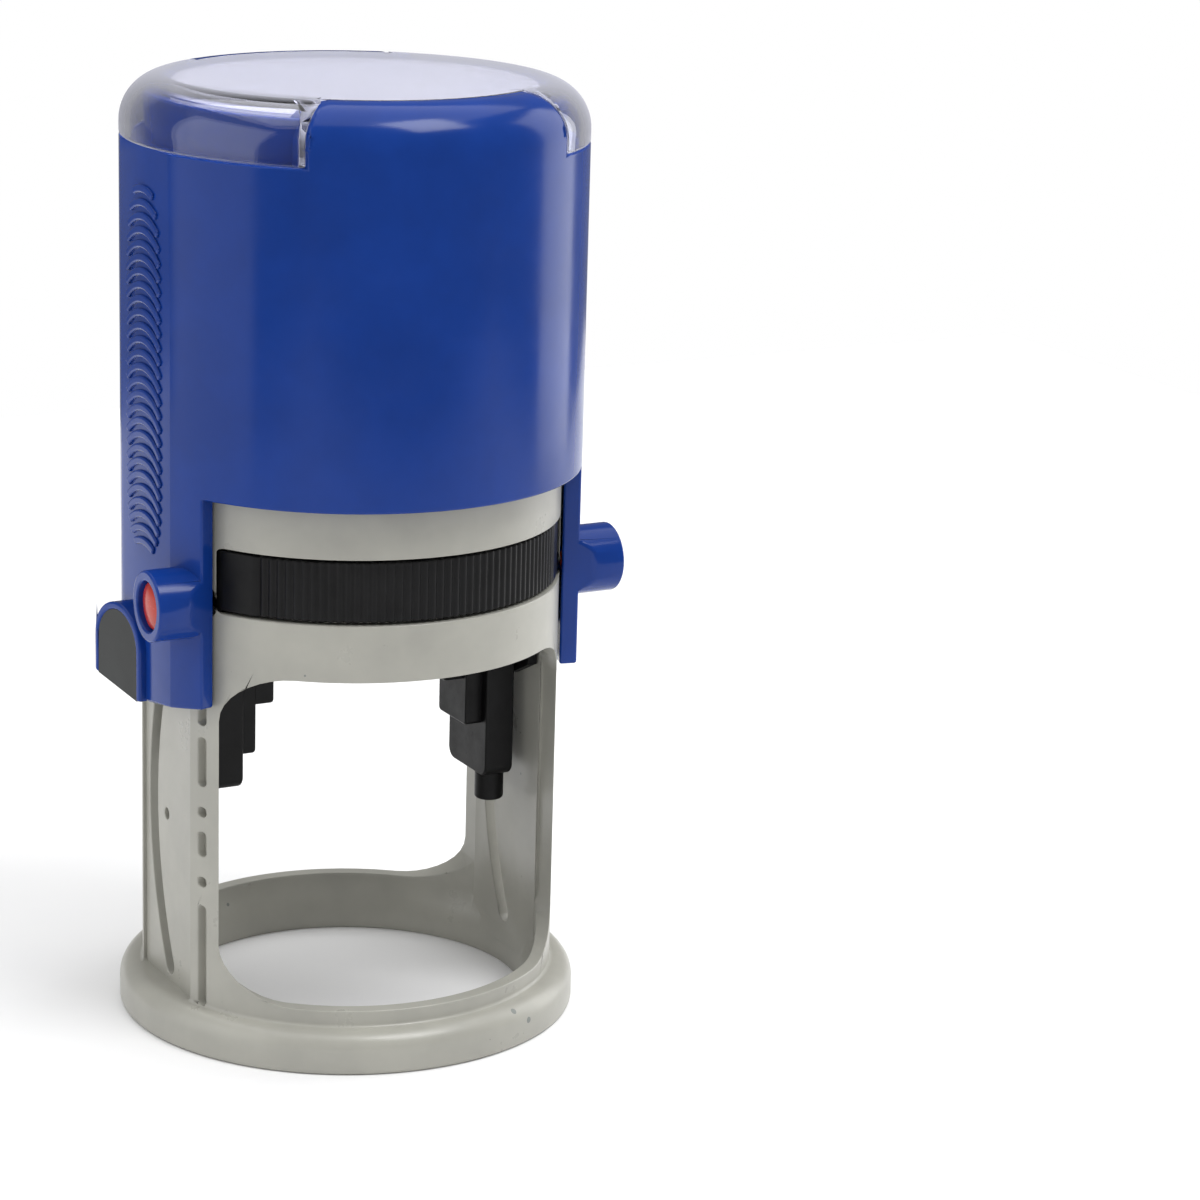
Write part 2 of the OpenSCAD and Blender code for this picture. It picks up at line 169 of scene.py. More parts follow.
def turned(profile: Outline, steps: int = ROUND_STEPS) -> bmesh.types.BMesh:
    """Spins a profile about Z into a closed solid.

    Args:
        profile: Points as (radius, height). A profile that starts and ends on the
            axis is left open there, and any other one is closed.
        steps: Number of sides.

    Returns:
        The solid.
    """
    solid = bmesh.new()
    ends = profile if profile[0][0] == 0 else [*profile, profile[0]]
    path: Outline = [ends[0]]
    for start, end in zip(ends, ends[1:]):
        rows = max(1, round(math.dist(start, end) / ROW)) if steps > ROW_STEPS else 1
        path += [tuple(Vector(start).lerp(Vector(end), k / rows)) for k in range(1, rows + 1)]
    points = [solid.verts.new((radius, 0.0, height)) for radius, height in path]
    edges = [solid.edges.new(pair) for pair in zip(points, points[1:])]
    bmesh.ops.spin(
        solid,
        geom=points + edges,
        cent=(0, 0, 0),
        axis=(0, 0, 1),
        angle=math.tau,
        steps=steps,
        use_merge=True,
    )
    bmesh.ops.remove_doubles(solid, verts=solid.verts, dist=0.001)
    bmesh.ops.dissolve_degenerate(solid, edges=solid.edges, dist=0.001)
    bmesh.ops.recalc_face_normals(solid, faces=solid.faces)
    return solid


def moved(
    solid: bmesh.types.BMesh, place: tuple[float, float, float], turn: float = 0.0, about: str = "Z"
) -> bmesh.types.BMesh:
    """Turns a solid by some degrees about an axis through the origin and then shifts it."""
    matrix = Matrix.Translation(place) @ Matrix.Rotation(math.radians(turn), 4, about)
    bmesh.ops.transform(solid, matrix=matrix, verts=solid.verts)
    return solid


def disc(radius: float, low: float, high: float, steps: int = ROUND_STEPS) -> bmesh.types.BMesh:
    """Round solid about Z."""
    return turned([(0, low), (radius, low), (radius, high), (0, high)], steps)


def soft_disc(radius: float, low: float, high: float, corner: float) -> bmesh.types.BMesh:
    """Round solid about Z with rounded rims."""
    return turned(rounded([(0, low, 0), (radius, low, corner), (radius, high, corner), (0, high, 0)]))


def tube(inner: float, outer: float, low: float, high: float) -> bmesh.types.BMesh:
    """Round solid about Z with a hole through it."""
    return turned([(inner, low), (outer, low), (outer, high), (inner, high)])


def rod(
    radius: float, low: float, high: float, y: float, z: float, steps: int = SMALL_STEPS
) -> bmesh.types.BMesh:
    """Round rod along X."""
    return moved(disc(radius, low, high, steps), (0, y, z), 90, "Y")


def both_sides(solid: bmesh.types.BMesh) -> bmesh.types.BMesh:
    """Adds the mirror image on the other side of the stamp."""
    bmesh.ops.mirror(solid, geom=solid.verts[:] + solid.edges[:] + solid.faces[:], axis="X", merge_dist=-1)
    bmesh.ops.recalc_face_normals(solid, faces=solid.faces)
    return solid


def mirrored(solid: bmesh.types.BMesh) -> bmesh.types.BMesh:
    """Turns a solid into its own mirror image on the other side of the stamp."""
    bmesh.ops.scale(solid, vec=(-1, 1, 1), verts=solid.verts)
    bmesh.ops.reverse_faces(solid, faces=solid.faces)
    return solid


def as_object(name: str, solid: bmesh.types.BMesh) -> bpy.types.Object:
    """Puts a solid into a new object in the scene and frees it."""
    data = bpy.data.meshes.new(name)
    solid.to_mesh(data)
    solid.free()
    item = bpy.data.objects.new(name, data)
    bpy.context.scene.collection.objects.link(item)
    return item


def gathered(solids: Iterable[bmesh.types.BMesh]) -> bmesh.types.BMesh:
    """Puts several solids that don't meet into one mesh and frees them."""
    whole = bmesh.new()
    for solid in solids:
        data = bpy.data.meshes.new("gathered")
        solid.to_mesh(data)
        solid.free()
        whole.from_mesh(data)
        bpy.data.meshes.remove(data)
    return whole


def combined(base: bmesh.types.BMesh, *steps: tuple[Cut, bmesh.types.BMesh]) -> bmesh.types.BMesh:
    """Adds and cuts tools in order.

    Args:
        base: The solid to start from.
        steps: Each tool with what it does.

    Returns:
        The finished solid. The base and the tools are freed.
    """
    body = as_object("base", base)
    tools = []
    for cut, tool in steps:
        tools.append(as_object("tool", tool))
        modifier = body.modifiers.new("combine", "BOOLEAN")
        modifier.operation = cut.value
        modifier.solver = "MANIFOLD"
        modifier.object = tools[-1]
    shaped = bpy.data.meshes.new_from_object(body.evaluated_get(bpy.context.evaluated_depsgraph_get()))
    result = bmesh.new()
    result.from_mesh(shaped)
    bpy.data.meshes.remove(shaped)
    for item in [body, *tools]:
        data = item.data
        bpy.data.objects.remove(item)
        bpy.data.meshes.remove(data)
    bmesh.ops.remove_doubles(result, verts=result.verts, dist=0.03)
    bmesh.ops.dissolve_degenerate(result, edges=result.edges, dist=0.01)
    return result


def coil(
    mean: float, wire: float, low: float, high: float, turns: int, steps: int, sides: int
) -> bmesh.types.BMesh:
    """Compression spring along Z whose first and last turns lie closed.

    Args:
        mean: Radius at the middle of the wire.
        wire: Thickness of the wire.
        low: Height of the lowest point.
        high: Height of the highest point.
        turns: Number of turns, with the two closed ones.
        steps: Rings for each turn.
        sides: Sides of the wire.

    Returns:
        The spring.
    """
    spring = bmesh.new()
    ring = bmesh.ops.create_circle(spring, segments=sides, radius=wire / 2, cap_ends=True)["verts"]
    turn = Matrix.Translation((mean, 0, low + wire / 2)) @ Matrix.Rotation(math.pi / 2, 4, "X")
    bmesh.ops.transform(spring, matrix=turn, verts=ring)
    closed = wire * 1.04
    open_pitch = (high - low - wire - 2 * closed) / (turns - 2)
    last = list(spring.faces)
    for count, pitch in ((1, closed), (turns - 2, open_pitch), (1, closed)):
        last = bmesh.ops.spin(
            spring,
            geom=last,
            cent=(0, 0, 0),
            axis=(0, 0, 1),
            dvec=(0, 0, pitch / steps),
            angle=math.tau * count,
            steps=steps * count,
        )["geom_last"]
    bmesh.ops.recalc_face_normals(spring, faces=spring.faces)
    return spring


# ---------------------------------------------------------------- sizes


@dataclass(frozen=True)
class Plan:
    """Sizes of the stamp in millimetres, read off the frame and built outwards from the die."""

    die_r: float
    face_z: float
    tray_half: float
    yoke_out: float
    wall_r: float
    flange_r: float
    frame_top: float
    deck_top: float
    casing_r: float
    shoulder_z: float
    crown_z: float
    ceiling_z: float
    leg_z: float
    boss_x: float
    pivot_z: float
    travel: float
    button_y: float
    button_z: float

    @classmethod
    def from_frame(cls) -> "Plan":
        """Reads the sizes off the CAD nodes' boxes and the press joint."""
        box = {name: tuple(corner * 1000 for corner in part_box(name)) for name in frame["nodes"]}
        press = next(joint for joint in frame["joints"] if joint["name"] == "press_slide")
        button = (box["lock_button_right"][0] + box["lock_button_right"][1]) / 2
        pivot = (box["pivot_pin_right"][0] + box["pivot_pin_right"][1]) / 2
        return cls(
            die_r=box["rubber_die"][1].x,
            face_z=box["rubber_die"][1].z,
            tray_half=box["die_carrier"][1].x,
            yoke_out=box["press_yoke"][1].x,
            wall_r=0.3 - box["cassette_tray"][0].y,
            flange_r=box["frame_body"][1].x,
            frame_top=box["frame_body"][1].z,
            deck_top=box["return_spring"][0].z,
            casing_r=box["clear_cap"][1].x,
            shoulder_z=box["clear_cap"][0].z - 0.1,
            crown_z=box["clear_cap"][1].z,
            ceiling_z=box["return_spring"][1].z,
            leg_z=box["casing_shell"][0].z,
            boss_x=box["casing_shell"][1].x,
            pivot_z=pivot.z,
            travel=-1000 * min(press["range_m"]),
            button_y=button.y,
            button_z=button.z,
        )

    @property
    def wall_in(self) -> float:
        """Radius inside the frame's round wall."""
        return self.wall_r - 1.8

    @property
    def casing_in(self) -> float:
        """Radius inside the casing's wall."""
        return self.casing_r - 2.1

    @property
    def window_z(self) -> float:
        """Height of the cassette window's lower edge."""
        return self.face_z - 0.9

    @property
    def window_top(self) -> float:
        """Height of the cassette window's upper edge."""
        return self.deck_top - 1.5

    @property
    def band_z(self) -> float:
        """Height of the lower band's underside."""
        return self.window_z - 6.8

    @property
    def window_half(self) -> float:
        """Half the width of the cassette window."""
        return self.wall_r * 0.889

    @property
    def plateau_z(self) -> float:
        """Height of the plateau that the label lies on."""
        return self.ceiling_z + 1.6

    @property
    def rim_z(self) -> float:
        """Height of the casing's rim at the front and the back."""
        return self.frame_top - 0.4

    @property
    def grip_x(self) -> float:
        """Distance from the centre to the flat grips."""
        return self.casing_r - 1.05

    @property
    def boss_r(self) -> float:
        """Radius of the boss round a lock button."""
        return 4.2


# ---------------------------------------------------------------- finishes


def linear(colour: str) -> tuple[float, float, float, float]:
    """Turns an sRGB hex value into a linear colour with full alpha."""
    parts = [int(colour[i : i + 2], 16) / 255 for i in (1, 3, 5)]
    return (*(p / 12.92 if p <= 0.04045 else ((p + 0.055) / 1.055) ** 2.4 for p in parts), 1.0)


def per_mm(size: float) -> float:
    """Scale of a pattern whose marks are this many millimetres apart."""
    return 1 / (size * MM)


def add_node(
    tree: bpy.types.NodeTree,
    kind: str,
    values: dict | None = None,
    feeds: dict | None = None,
    **settings: object,
) -> bpy.types.Node:
    """Adds a shader node.

    Args:
        tree: The material's node tree.
        kind: The node's type.
        values: Constants for its sockets.
        feeds: Outputs that feed its sockets.
        settings: Its own properties.

    Returns:
        The node.
    """
    node = tree.nodes.new(kind)
    for name, value in settings.items():
        setattr(node, name, value)
    for key, value in (values or {}).items():
        node.inputs[key].default_value = value
    for key, output in (feeds or {}).items():
        tree.links.new(output, node.inputs[key])
    return node


def noise(
    tree: bpy.types.NodeTree,
    spacing: float,
    place: bpy.types.NodeSocket,
    detail: float,
    rough: float = 0.5,
) -> bpy.types.NodeSocket:
    """Level of a noise whose marks are this many millimetres apart."""
    values = {"Scale": per_mm(spacing), "Detail": detail, "Roughness": rough}
    return add_node(tree, "ShaderNodeTexNoise", values, {"Vector": place}).outputs["Fac"]


def cells(
    tree: bpy.types.NodeTree, spacing: float, place: bpy.types.NodeSocket, **settings: object
) -> bpy.types.NodeSocket:
    """Distance to the middle of the nearest cell, for cells this many millimetres across."""
    values = {"Scale": per_mm(spacing), "Randomness": 1.0}
    return add_node(tree, "ShaderNodeTexVoronoi", values, {"Vector": place}, **settings).outputs["Distance"]


def ranged(
    tree: bpy.types.NodeTree,
    level: bpy.types.NodeSocket,
    source: tuple[float, float],
    target: tuple[float, float] = (0.0, 1.0),
) -> bpy.types.NodeSocket:
    """Level that goes over the target's range while the given one goes over the source's."""
    values = {"From Min": source[0], "From Max": source[1], "To Min": target[0], "To Max": target[1]}
    return add_node(tree, "ShaderNodeMapRange", values, {"Value": level}).outputs["Result"]


def blended(
    tree: bpy.types.NodeTree,
    share: bpy.types.NodeSocket,
    first: bpy.types.NodeSocket,
    second: bpy.types.NodeSocket,
) -> bpy.types.NodeSocket:
    """Shader that turns from the first into the second as the share goes from 0 to 1."""
    return add_node(tree, "ShaderNodeMixShader", None, {0: share, 1: first, 2: second}).outputs[0]


@dataclass(frozen=True)
class Finish:
    """A surface with two tones, uneven gloss, a fine texture and a slow waviness.

    Attributes:
        label: Name of the real material.
        colour: Its colour.
        shade: The tone that its colour drifts to.
        gloss: Lowest and highest roughness.
        grain: Spacing and depth of its fine texture, in millimetres.
        drift: Spacing of the change of tone and gloss, in millimetres.
        wave: Spacing and depth of its slow waviness, in millimetres.
        stretch: How the texture is drawn out along X, Y and Z.
        cells: Whether the texture is of open cells instead of grains.
        stain: Colour of small specks and smears, if it has them.
        stain_spacing: Distance between the specks, in millimetres.
        metallic: 1 for a metal.
        ior: Index of refraction.
        clear: Share of the light that passes through.
        scuff: How far fine scratches raise the roughness.
        coat: Weight of a clear wet or polished film on top.
        sheen: Weight of the soft glow of loose fibres.
        scatter: Share of the light that scatters under the surface.
        specular: Strength of the reflection, where 0.5 is what the IOR gives.
    """

    label: str
    colour: str
    shade: str
    gloss: tuple[float, float]
    grain: tuple[float, float]
    drift: float = 9.0
    wave: tuple[float, float] = (7.0, 0.0)
    stretch: tuple[float, float, float] = (1.0, 1.0, 1.0)
    cells: bool = False
    stain: str = ""
    stain_spacing: float = 3.0
    metallic: float = 0.0
    ior: float = 1.5
    clear: float = 0.0
    scuff: float = 0.0
    coat: float = 0.0
    sheen: float = 0.0
    scatter: float = 0.0
    specular: float = 0.5

    def material(self) -> bpy.types.Material:
        """Builds the node material, once for each finish."""
        made = bpy.data.materials.get(self.label)
        if made:
            return made
        made = bpy.data.materials.new(self.label)
        made.use_nodes = True
        tree = made.node_tree
        shader = tree.nodes["Principled BSDF"]
        for key, value in {
            "Metallic": self.metallic,
            "IOR": self.ior,
            "Specular IOR Level": self.specular,
            "Transmission Weight": self.clear,
            "Coat Weight": self.coat,
            "Coat Roughness": 0.12,
            "Sheen Weight": self.sheen,
            "Subsurface Weight": self.scatter,
            "Subsurface Scale": 1.5 * MM,
        }.items():
            shader.inputs[key].default_value = value
        place = add_node(tree, "ShaderNodeTexCoord").outputs["Object"]
        tree.links.new(self.tone(tree, place), shader.inputs["Base Color"])
        tree.links.new(self.roughness(tree, place), shader.inputs["Roughness"])
        tree.links.new(self.relief(tree, place), shader.inputs["Normal"])
        made.diffuse_color = linear(self.colour)
        if self.clear:
            # A clear wall gathers light in its rims, so it turns milky where it bends away
            facing = add_node(tree, "ShaderNodeLayerWeight", {"Blend": 0.5}).outputs["Facing"]
            haze = ranged(tree, facing, (0.55, 0.95), (0.0, 0.7))
            rim = add_node(tree, "ShaderNodeBsdfDiffuse", {"Color": linear("#b9bac6")})
            wall = blended(tree, haze, shader.outputs[0], rim.outputs[0])
            # Lamps shine straight through a clear wall, so what lies under it is fully lit
            lamp = add_node(tree, "ShaderNodeBsdfTransparent", {"Color": (0.96, 0.96, 0.97, 1.0)})
            path = add_node(tree, "ShaderNodeLightPath")
            passed = blended(tree, path.outputs["Is Shadow Ray"], wall, lamp.outputs[0])
            tree.links.new(passed, tree.nodes["Material Output"].inputs["Surface"])
        return made

    def tone(self, tree: bpy.types.NodeTree, place: bpy.types.NodeSocket) -> bpy.types.NodeSocket:
        """Colour that drifts between the two tones, with specks and smears of the stain."""
        drift = ranged(tree, noise(tree, self.drift, place, 4.0, 0.6), (0.35, 0.65))
        colour = add_node(
            tree,
            "ShaderNodeMix",
            {6: linear(self.colour), 7: linear(self.shade)},
            {0: drift},
            data_type="RGBA",
        ).outputs[2]
        if not self.stain:
            return colour
        specks = cells(tree, self.stain_spacing, place)
        patches = noise(tree, self.stain_spacing * 3, place, 3.0)
        reach = ranged(tree, patches, (0.52, 0.72), (0.0, 0.17))
        speck = add_node(tree, "ShaderNodeMath", None, {0: specks, 1: reach}, operation="LESS_THAN")
        strength = add_node(tree, "ShaderNodeMath", {1: 0.62}, {0: speck.outputs[0]}, operation="MULTIPLY")
        return add_node(
            tree,
            "ShaderNodeMix",
            {7: linear(self.stain)},
            {0: strength.outputs[0], 6: colour},
            data_type="RGBA",
        ).outputs[2]

    def roughness(self, tree: bpy.types.NodeTree, place: bpy.types.NodeSocket) -> bpy.types.NodeSocket:
        """Roughness that wanders between the two values, higher along fine scratches."""
        wander = noise(tree, self.drift * 0.6, place, 5.0, 0.65)
        level = ranged(tree, wander, (0.3, 0.7), self.gloss)
        if not self.scuff:
            return level
        drawn = add_node(
            tree,
            "ShaderNodeMapping",
            {"Rotation": (0.5, 0.35, 0.9), "Scale": (1.0, 26.0, 26.0)},
            {"Vector": place},
        )
        lines = noise(tree, 14.0, drawn.outputs["Vector"], 2.0)
        scratch = ranged(tree, lines, (0.66, 0.74), (0.0, self.scuff))
        return add_node(tree, "ShaderNodeMath", None, {0: level, 1: scratch}, operation="ADD").outputs[0]

    def relief(self, tree: bpy.types.NodeTree, place: bpy.types.NodeSocket) -> bpy.types.NodeSocket:
        """Fine texture on top of a slow waviness, as bump."""
        spacing, depth = self.grain
        mapping = add_node(tree, "ShaderNodeMapping", {"Scale": self.stretch}, {"Vector": place})
        drawn = mapping.outputs["Vector"]
        if self.cells:
            fine = cells(tree, spacing, drawn, feature="SMOOTH_F1")
        else:
            fine = noise(tree, spacing, drawn, 3.0, 0.55)
        normal = add_node(
            tree, "ShaderNodeBump", {"Strength": 1.0, "Distance": depth * MM}, {"Height": fine}
        ).outputs["Normal"]
        if not self.wave[1]:
            return normal
        slow = noise(tree, self.wave[0], place, 1.0)
        return add_node(
            tree,
            "ShaderNodeBump",
            {"Strength": 1.0, "Distance": self.wave[1] * MM},
            {"Height": slow, "Normal": normal},
        ).outputs["Normal"]


# Polished mould, blue ABS: sharp reflections that waver a little, and faint handling scratches
CASING_BLUE = Finish(
    "gloss_abs_blue",
    "#113889",
    "#0f337e",
    (0.14, 0.21),
    (0.16, 0.0012),
    drift=14.0,
    wave=(9.0, 0.02),
    ior=1.54,
    scuff=0.04,
    specular=0.22,
)
# Satin mould, warm grey ABS: a fine spark texture, with specks of dried ink
FRAME_GREY = Finish(
    "satin_abs_grey",
    "#a9a89f",
    "#9e9d95",
    (0.26, 0.38),
    (0.22, 0.006),
    drift=12.0,
    wave=(11.0, 0.03),
    stain="#4d5a5c",
    stain_spacing=3.2,
    ior=1.54,
    scuff=0.08,
)
# Black polypropylene of the cassette: soft gloss, slightly greyer where fingers rub it
CASSETTE_BLACK = Finish(
    "moulded_polypropylene_black",
    "#0d0d0e",
    "#141415",
    (0.32, 0.44),
    (0.2, 0.006),
    drift=5.0,
    wave=(6.0, 0.02),
    ior=1.49,
    scuff=0.1,
    specular=0.2,
)
# Black acetal of the working parts: waxy, with a fine matt grain
WORKS_BLACK = Finish(
    "moulded_acetal_black",
    "#070708",
    "#0c0c0d",
    (0.36, 0.5),
    (0.2, 0.008),
    drift=6.0,
    ior=1.48,
    scuff=0.08,
    specular=0.2,
)
# Polished mould, near-black ABS with a green cast, put inside the arches as painted shade for the shadow in
# their hollows; it mirrors the room softly
ARCH_SHADE_BLACK = Finish(
    "painted_shade_gloss_black",
    "#060b0a",
    "#0d1412",
    (0.14, 0.24),
    (0.2, 0.0012),
    drift=4.0,
    wave=(6.0, 0.05),
    specular=0.3,
)
# Clear polystyrene: glass-like, milky in its rims, with hairline scratches on the crown
CAP_CLEAR = Finish(
    "clear_polystyrene",
    "#f6f7fd",
    "#eef0fb",
    (0.02, 0.05),
    (0.5, 0.0006),
    drift=10.0,
    wave=(12.0, 0.01),
    ior=1.45,
    clear=1.0,
    scuff=0.06,
)
# Coated card: a smooth face with a faint fibre mottle
LABEL_PAPER = Finish(
    "coated_card_white",
    "#eceaf6",
    "#e2e1f0",
    (0.5, 0.62),
    (0.18, 0.01),
    drift=1.2,
    stretch=(1.0, 0.35, 1.0),
)
# Polished mould, red ABS: a soft glow under a sharp reflection
BUTTON_RED = Finish(
    "gloss_abs_red",
    "#b8321f",
    "#ab2c1a",
    (0.16, 0.24),
    (0.14, 0.0015),
    drift=3.0,
    wave=(3.0, 0.012),
    ior=1.54,
    scuff=0.1,
    scatter=0.05,
    specular=0.25,
)
# Laser-cut rubber: charred matt flanks under a thin wet film of green ink
DIE_RUBBER = Finish(
    "engraved_rubber_inked",
    "#1d3b2a",
    "#2c4a35",
    (0.38, 0.62),
    (0.16, 0.02),
    drift=2.2,
    coat=0.25,
    ior=1.52,
)
# Felted ink pad: dark, damp and fibrous
INK_FELT = Finish(
    "ink_soaked_felt",
    "#10301f",
    "#18402a",
    (0.66, 0.88),
    (0.35, 0.09),
    drift=1.6,
    cells=True,
    sheen=0.15,
)
# Closed-cell foam sheet: pale, matt and faintly pitted
CUSHION_FOAM = Finish(
    "closed_cell_foam",
    "#cbc9c0",
    "#bdbbb0",
    (0.8, 0.92),
    (0.4, 0.07),
    drift=2.0,
    cells=True,
    sheen=0.1,
)
# Drawn spring wire: bright, with lengthwise die marks
SPRING_STEEL = Finish(
    "drawn_spring_steel",
    "#c9cacd",
    "#b4b6ba",
    (0.2, 0.36),
    (0.1, 0.003),
    drift=2.0,
    metallic=1.0,
    stretch=(1.0, 1.0, 5.0),
    scuff=0.15,
)
# Ground steel pins: fine rings round the pin
PIN_STEEL = Finish(
    "ground_steel",
    "#bcbec2",
    "#a9abb0",
    (0.16, 0.3),
    (0.08, 0.002),
    drift=1.5,
    metallic=1.0,
    stretch=(6.0, 0.4, 0.4),
    scuff=0.1,
)
# Dark moulded plate: an even satin grain
PLATE_GREY = Finish("moulded_plate_grey", "#3a3b3d", "#434447", (0.4, 0.52), (0.2, 0.008), drift=5.0)
# Matt card: no shine at all
FLOOR_WHITE = Finish("matt_white_card", "#f4f4f4", "#f1f1f2", (0.85, 0.95), (0.6, 0.01), drift=60.0)


# ---------------------------------------------------------------- pieces


@dataclass
class Edge:
    """Rounding of a piece's outer edges. Its inner corners stay crisp.

    Attributes:
        width: Width of the rounding in millimetres, or 0 for none.
        segments: Faces across it.
        angle: Sharpest bend, in degrees, that is left alone.
    """

    width: float = 0.25
    segments: int = 3
    angle: float = 38.0


def finished(
    name: str,
    solid: bmesh.types.BMesh,
    finish: Finish,
    body: str,
    stands_for: Sequence[str] = (),
    edge: Edge | None = None,
) -> bpy.types.Object:
    """Turns a solid in millimetres into a dressed piece that rides on a body.

    Args:
        name: Name of the piece.
        solid: Its shape, which is freed.
        finish: Its material.
        body: The CAD body that it moves with.
        stands_for: The CAD nodes that it replaces.
        edge: How its edges are rounded.

    Returns:
        The piece, at the origin.
    """
    bmesh.ops.scale(solid, vec=(MM, MM, MM), verts=solid.verts)
    for face in solid.faces:
        face.smooth = True
    edge = edge or Edge()
    weight = solid.edges.layers.float.new("bevel_weight_edge")
    for line in solid.edges:
        bend = line.calc_face_angle_signed(0.0)
        line[weight] = float(bend > math.radians(edge.angle))
        line.smooth = bend > -math.radians(edge.angle)
    piece = as_object(name, solid)
    piece.data.materials.append(finish.material())
    if edge.width:
        rounding = piece.modifiers.new("rounded edges", "BEVEL")
        rounding.width = edge.width * MM
        rounding.segments = edge.segments
        rounding.limit_method = "WEIGHT"
        rounding.profile = 0.5
        rounding.use_clamp_overlap = False
        rounding.harden_normals = True
    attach(piece, body)
    if stands_for:
        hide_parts(*stands_for)
    LOG.info("%s: %d faces, on %s", name, len(piece.data.polygons), body)
    return piece


def dressed(finish: Finish, *nodes: str) -> None:
    """Gives CAD nodes, whose shape is kept, a better material."""
    for name in nodes:
        for place in frame["nodes"][name].material_slots:
            place.material = finish.material()
        LOG.info("%s: kept, in %s", name, finish.label)


